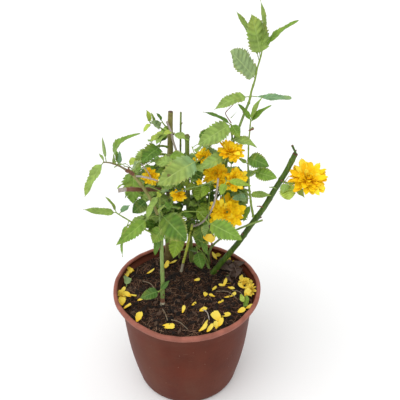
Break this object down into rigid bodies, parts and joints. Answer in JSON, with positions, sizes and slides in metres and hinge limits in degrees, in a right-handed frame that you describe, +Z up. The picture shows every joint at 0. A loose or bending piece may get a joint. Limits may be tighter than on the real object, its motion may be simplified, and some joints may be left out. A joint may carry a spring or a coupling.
{
  "type": "japanese kerria in a nursery pot",
  "caption": "Small potted kerria shrub: green canes, toothed leaves and double yellow blooms in a tapered brown plastic nursery pot.",
  "frame": {"origin": "centre of the flat underside of the pot", "axes": "+Z up along the pot's axis; +X towards the side that the thick green cane leans to; +Y away from the side with the front cane"},
  "size_m": [0.2918, 0.2316, 0.5215],
  "materials": {
    "pot_plastic": "satin, dusty",
    "soil": "rough potting mix",
    "cane_green": "smooth bark",
    "cane_light": "smooth bark",
    "cane_olive": "smooth bark",
    "cane_brown": "matt bark",
    "cane_grey": "weathered bark",
    "foliage": "soft leaf"
  },
  "bodies": {
    "root": {"pot": "pot_plastic", "soil": "soil", "cane_right": "cane_green", "cane_tall": "cane_light", "cane_old": "cane_olive", "cane_slim": "cane_olive", "cane_short": "cane_green", "cane_front": "cane_light", "cane_yellow": "cane_light", "cane_slim_right": "cane_olive", "bough_cut": "cane_brown", "bough_left": "cane_olive", "twig_dead": "cane_grey", "twig_grey": "cane_grey", "stub_top": "cane_green", "crown_top": "foliage", "side_shoot": "foliage", "right_bloom": "foliage", "left_tip": "foliage", "left_leaves": "foliage", "upper_left": "foliage", "front_left": "foliage", "left_hanging": "foliage", "lower_left": "foliage", "centre_front": "foliage", "centre_top": "foliage", "centre_leaf": "foliage", "centre_blooms": "foliage", "green_twig": "foliage", "front_low": "foliage", "right_low": "foliage", "basal_shoot": "foliage", "foot_leaves": "foliage", "low_left": "foliage", "low_right": "foliage", "back_left": "foliage", "back_middle": "foliage", "back_right": "foliage"}
  },
  "joints": []
}
